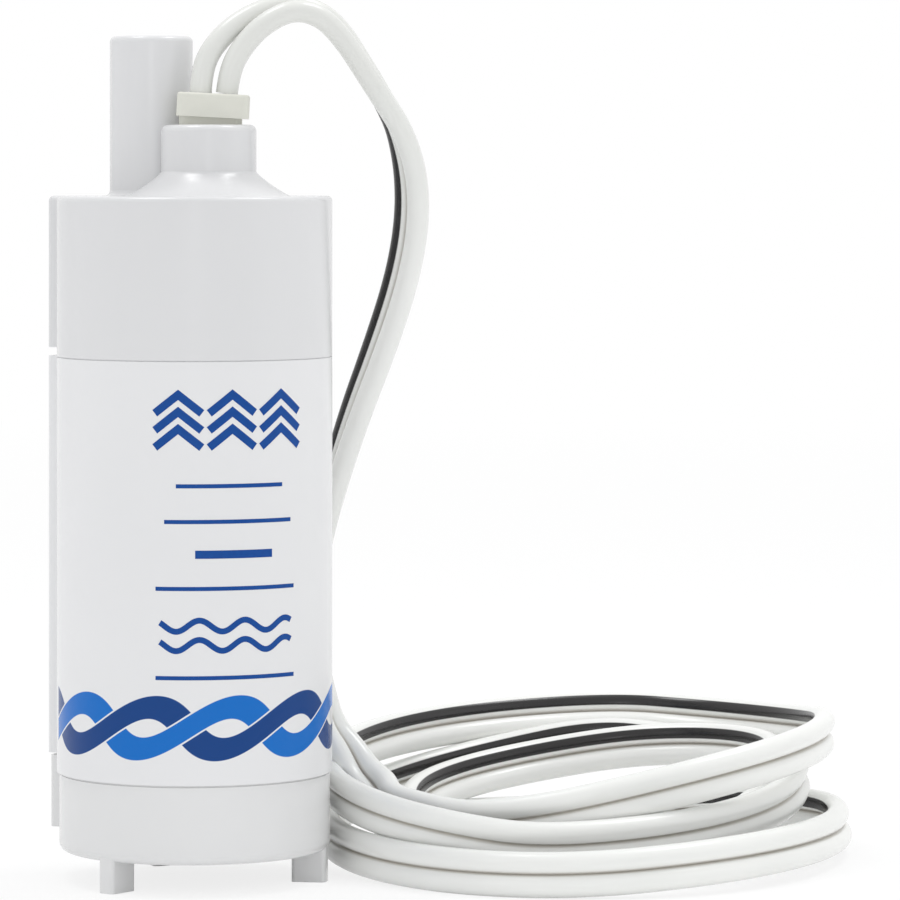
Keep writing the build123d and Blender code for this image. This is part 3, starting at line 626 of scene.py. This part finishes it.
# %% [markdown]
# ## The printed band
# Two blue strands are printed round the tube just above its lower seam, twisted like a rope: an old border
# pattern. It is worked out from the place on the tube. Each strand is a wave, the second one half a
# wavelength behind the first, and the strand that rises to the right lies on top with a thin pale gap beside
# it. All sizes are in mm, and the ink keeps the shine of the tube below it.

# %% Pad-printed rope border on the tube
tube_r = 19.0
band_z = 22.8
wave_period = 22.4
wave_height = 2.83
strand_half = 1.57
strand_pale = 0.26
steep_share = 0.28
lean = 0.38
# degrees round the tube: a crest of the light strand lies at the first, counted to the left of the front. The
# print leaves the rib bare, starts on its one side and ends on the other.
crest_angle = 51.2
bare_middle, band_start, band_end = -104.3, -76.6, 228.0
band_abs, tree, shader, place, tone = moulded_abs("moulded_white_abs_with_print", "#ECECED", "#E5E5E6")
spot = add(tree, "ShaderNodeSeparateXYZ", {0: place.outputs["Object"]})
back_y = add(tree, "ShaderNodeMath", {0: spot.outputs["Y"], 1: -1.0}, operation="MULTIPLY")
angle = add(tree, "ShaderNodeMath", {0: spot.outputs["X"], 1: back_y.outputs[0]}, operation="ARCTAN2")
turned = add(
    tree, "ShaderNodeMath",
    {0: angle.outputs[0], 1: np.radians(bare_middle + 360), 2: np.radians(bare_middle)},
    operation="WRAP",
)
round_mm = add(tree, "ShaderNodeMath", {0: turned.outputs[0], 1: tube_r}, operation="MULTIPLY")
up_mm = add(tree, "ShaderNodeMath", {0: spot.outputs["Z"], 1: 1000.0, 2: -band_z}, operation="MULTIPLY_ADD")
upright = add(
    tree, "ShaderNodeMath", {0: up_mm.outputs[0], 1: -lean, 2: round_mm.outputs[0]}, operation="MULTIPLY_ADD"
)
per_mm = 2 * np.pi / wave_period
phase = add(
    tree, "ShaderNodeMath",
    {0: upright.outputs[0], 1: per_mm, 2: np.radians(crest_angle) * tube_r * per_mm},
    operation="MULTIPLY_ADD",
)
swing = add(tree, "ShaderNodeMath", {0: phase.outputs[0]}, operation="COSINE")
slope = add(tree, "ShaderNodeMath", {0: phase.outputs[0]}, operation="SINE")
steep = add(tree, "ShaderNodeMath", {0: slope.outputs[0], 1: slope.outputs[0]}, operation="MULTIPLY")
stretch = add(tree, "ShaderNodeMath", {0: steep.outputs[0], 1: steep_share, 2: 1.0}, operation="MULTIPLY_ADD")
print("waves of the band round the whole tube", round(2 * np.pi * tube_r / wave_period, 2))

# %% [markdown]
# A place is inked where it is nearer to a strand's middle line than half the strand's width. Where both
# strands are that near, the one on top wins, and a thin pale line beside it keeps the two apart.

# %% Two strands, one over the other
def strand_gap(sign):
    """How far a place is from a strand's middle line: its height plus the wave's for the dark strand, or less
    the wave's for the light one, and made smaller where the wave is steep, so that the strand keeps its
    width."""
    off = add(
        tree, "ShaderNodeMath",
        {0: swing.outputs[0], 1: sign * wave_height, 2: up_mm.outputs[0]},
        operation="MULTIPLY_ADD",
    )
    size = add(tree, "ShaderNodeMath", {0: off.outputs[0]}, operation="ABSOLUTE")
    eased = add(tree, "ShaderNodeMath", {0: size.outputs[0], 1: stretch.outputs[0]}, operation="DIVIDE")
    return eased.outputs[0]


def inside(distance, limit):
    """1 where the distance is under the limit, with an edge as soft as the print's."""
    soft = 0.04
    found = add(
        tree, "ShaderNodeMapRange",
        {"Value": distance, "From Min": limit - soft, "From Max": limit + soft, "To Min": 1.0, "To Max": 0.0},
    )
    return found.outputs[0]


dark_gap, light_gap = strand_gap(1), strand_gap(-1)
dark_up = add(tree, "ShaderNodeMath", {0: slope.outputs[0], 1: 0.0}, operation="GREATER_THAN").outputs[0]
top_gap = add(tree, "ShaderNodeMix", {"Factor": dark_up, "A": light_gap, "B": dark_gap}).outputs["Result"]
under_gap = add(tree, "ShaderNodeMix", {"Factor": dark_up, "A": dark_gap, "B": light_gap}).outputs["Result"]
on_top = inside(top_gap, strand_half)
beside_top = inside(top_gap, strand_half + strand_pale)
clear = add(tree, "ShaderNodeMath", {0: 1.0, 1: beside_top}, operation="SUBTRACT").outputs[0]
in_under = inside(under_gap, strand_half)
under = add(tree, "ShaderNodeMath", {0: in_under, 1: clear}, operation="MULTIPLY").outputs[0]
dark_top = add(tree, "ShaderNodeMath", {0: on_top, 1: dark_up}, operation="MULTIPLY").outputs[0]
dark_down = add(tree, "ShaderNodeMath", {0: 1.0, 1: dark_up}, operation="SUBTRACT").outputs[0]
dark_ink = add(
    tree, "ShaderNodeMath", {0: under, 1: dark_down, 2: dark_top}, operation="MULTIPLY_ADD"
).outputs[0]
inked = add(tree, "ShaderNodeMath", {0: on_top, 1: under}, operation="MAXIMUM").outputs[0]
print("a strand's width in mm", 2 * strand_half)

# %% [markdown]
# The print starts and ends beside the rib. Two blues are mixed by which strand is seen, and the plastic's
# own tone is kept where there is no ink.

# %% Ink on the tube
begun = add(
    tree, "ShaderNodeMath", {0: turned.outputs[0], 1: np.radians(band_start)}, operation="GREATER_THAN"
).outputs[0]
still = add(
    tree, "ShaderNodeMath", {0: turned.outputs[0], 1: np.radians(band_end)}, operation="LESS_THAN"
).outputs[0]
panel = add(tree, "ShaderNodeMath", {0: begun, 1: still}, operation="MULTIPLY").outputs[0]
printed = add(tree, "ShaderNodeMath", {0: inked, 1: panel}, operation="MULTIPLY").outputs[0]
ink = add(
    tree, "ShaderNodeMix",
    {"Factor": dark_ink, "A": linear("#006CC4"), "B": linear("#003E82")},
    data_type="RGBA",
)
skin = add(
    tree, "ShaderNodeMix",
    {"Factor": printed, "A": tone.outputs["Result"], "B": ink.outputs["Result"]},
    data_type="RGBA",
)
tree.links.new(skin.outputs["Result"], shader.inputs["Base Color"])
shader.inputs["Specular IOR Level"].default_value = 0.25
dress(["pump_body"], band_abs)
print("nodes of the printed ABS", len(tree.nodes))

# %% [markdown]
# Such a pump also carries a plain block of blue printing: arrow heads that point the way the water goes, two
# waves for water, and ruled lines as on an empty rating plate. Pad printing leaves a film of ink a few
# hundredths of a millimetre thick, so each stroke is a strip that lies on the tube. The ink has fine pores,
# which are drawn at 0.6 mm to show.

# %% Pad-printed arrows, waves and ruled lines
ink_r = tube_r + 0.02
arrow_half, arrow_rise, arrow_stroke, arrow_flat = 3.2, 2.5, 1.1, 0.7
wave_swing, wave_length, wave_stroke = 0.75, 6.3, 0.8


def ink_stroke(points, width):
    """A strip along points s, z of the unrolled tube, with one width or a width for each point. Each point is
    moved half the width to both sides, square to the stroke, and then laid on the tube at the angle s
    divided by the radius."""
    points = np.asarray(points, float)
    way = unit(np.gradient(points, axis=0))
    square = np.stack([-way[:, 1], way[:, 0]], 1) * np.reshape(width, (-1, 1)) / 2
    flat = np.stack([points + square, points - square], 1)
    turn = flat[..., 0] / ink_r
    return np.stack([ink_r * np.sin(turn), -ink_r * np.cos(turn), flat[..., 1]], -1) / 1000


# left end, height, right end and width of each ruled line in mm
ruled = [
    (-1.6, 55.4, 13.7, 0.55), (-3.2, 50.6, 15.2, 0.55), (1.0, 46.2, 12.0, 1.1), (-4.4, 41.6, 15.8, 0.55),
    (-4.4, 29.6, 15.8, 0.55),
]
strokes = [ink_stroke(np.linspace((s0, z), (s1, z), 24), width) for s0, z, s1, width in ruled]
# an arrow head's two arms are straight, and at its point the stroke is wider, as a mitred corner is
arm = np.linspace(arrow_flat, arrow_half, 8)
arrow_s = np.concatenate([-arm[::-1], [0.0], arm])
arrow_z = arrow_rise - np.abs(arrow_s) * arrow_rise / arrow_half
mitre = np.hypot(arrow_half, arrow_rise) / arrow_half
arrow_width = np.where(arrow_s == 0, arrow_stroke * mitre, arrow_stroke)
for middle in (-1.3, 6.1, 13.5):
    for foot in (60.6, 62.9, 65.2):
        strokes.append(ink_stroke(np.stack([arrow_s + middle, arrow_z + foot], 1), arrow_width))
wave_s = np.linspace(-3.8, 15.2, 120)
for middle in (34.0, 36.6):
    wave_z = middle + wave_swing * np.sin(wave_s * 2 * np.pi / wave_length)
    strokes.append(ink_stroke(np.stack([wave_s, wave_z], 1), wave_stroke))
counts = np.array([len(stroke) for stroke in strokes])
starts = np.concatenate([[0], np.cumsum(counts * 2)[:-1]])
ink_faces = np.vstack([grid_faces(n, 2) + start for n, start in zip(counts, starts)])
ink_points = np.vstack([stroke.reshape(-1, 3) for stroke in strokes])
ink_print = make_mesh("ink_print", ink_points, ink_faces)
ink_print.data.polygons.foreach_set("use_smooth", np.ones(len(ink_faces), bool))
blue_ink, tree, shader = start_material("pad_printed_blue_ink")
place = add(tree, "ShaderNodeTexCoord")
pores = add(
    tree, "ShaderNodeTexNoise", {"Vector": place.outputs["Object"], "Scale": scale_for(0.6), "Detail": 2.0}
)
ink_tone = add(
    tree, "ShaderNodeMix",
    {"Factor": pores.outputs["Fac"], "A": linear("#00408C"), "B": linear("#004C9C")},
    data_type="RGBA",
)
tree.links.new(ink_tone.outputs["Result"], shader.inputs["Base Color"])
shader.inputs["Roughness"].default_value = 0.4
shader.inputs["IOR"].default_value = 1.5
shader.inputs["Specular IOR Level"].default_value = 0.25
ink_print.data.materials.append(blue_ink)
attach(ink_print, "housing")
print("printed strokes", len(strokes))

# %% [markdown]
# ## The rubber block and the inside
# The block that holds the two cores is cream rubber with a dull skin. The inner parts show only through the
# slots or in a cut, but each still gets what it is made of: nylon, steel, bronze, copper, iron, carbon.

# %% Moulded rubber, and the materials of the inner parts
cloud_mm = 3.0


def plain_finish(name, hex_code, roughness, metallic):
    """One tone, slightly clouded, with a fine bump. The values make it moulded, sintered, drawn or ground,
    and the shader's own IOR of 1.5 suits them all."""
    material, tree, shader = start_material(name)
    place = add(tree, "ShaderNodeTexCoord")
    cloud = add(
        tree, "ShaderNodeTexNoise",
        {"Vector": place.outputs["Object"], "Scale": scale_for(cloud_mm), "Detail": 3.0},
    )
    full = linear(hex_code)
    dim = tuple((np.array(full) * [0.9, 0.9, 0.9, 1]).tolist())
    tone = add(
        tree, "ShaderNodeMix", {"Factor": cloud.outputs["Fac"], "A": dim, "B": full}, data_type="RGBA"
    )
    tree.links.new(tone.outputs["Result"], shader.inputs["Base Color"])
    shader.inputs["Roughness"].default_value = roughness
    shader.inputs["Metallic"].default_value = metallic
    height = cloud.outputs["Fac"]
    bump = add(tree, "ShaderNodeBump", {"Strength": 0.05, "Distance": 0.0003, "Height": height})
    tree.links.new(bump.outputs[0], shader.inputs["Normal"])
    return material


# name, colour, roughness, metallic, and the nodes made of it
finishes = [
    ("moulded_cream_rubber", "#E4E4DA", 0.55, 0, ["cable_grommet"]),
    ("moulded_grey_nylon", "#A8A8A4", 0.5, 0, ["intake_plate", "motor_retainer"]),
    ("moulded_black_nylon", "#202122", 0.45, 0, ["impeller", "motor_end_cap"]),
    ("sheet_rubber", "#2A2A2A", 0.7, 0, ["lower_gasket", "upper_gasket", "shaft_seal"]),
    ("cast_resin", "#1E1E1F", 0.25, 0, ["entry_resin"]),
    ("ground_stainless_steel", "#C8C9CB", 0.2, 1, ["shaft", "seal_washer"]),
    ("zinc_plated_steel", "#B4B6B8", 0.38, 1, ["motor_can", "magnet_clip"]),
    ("sintered_ferrite", "#3A3A3C", 0.65, 0, ["stator_magnets"]),
    ("stamped_iron_sheet", "#77787A", 0.45, 1, ["armature_core"]),
    ("enamelled_copper_wire", "#A85A2C", 0.3, 1, ["armature_windings"]),
    ("sintered_bronze", "#B08D57", 0.5, 1, ["front_bearing", "rear_bearing"]),
    ("turned_copper", "#C27B50", 0.3, 1, ["commutator"]),
    ("pressed_phenolic", "#5A3A22", 0.5, 0, ["commutator_core"]),
    ("pressed_fibre", "#4A2E1E", 0.8, 0, ["thrust_washers"]),
    ("pressed_carbon", "#1A1A1B", 0.6, 0, ["carbon_brushes"]),
    ("rolled_phosphor_bronze", "#C39A5E", 0.3, 1, ["brush_springs"]),
    ("tinned_brass", "#CFCBBD", 0.3, 1, ["motor_terminals"]),
    ("dipped_ceramic", "#B8672C", 0.35, 0, ["noise_capacitor"]),
    ("bright_copper_strands", "#C9794E", 0.28, 1, ["copper_ends"]),
]
for name, hex_code, roughness, metallic, names in finishes:
    dress(names, plain_finish(name, hex_code, roughness, metallic))
print("plain finishes", len(finishes))
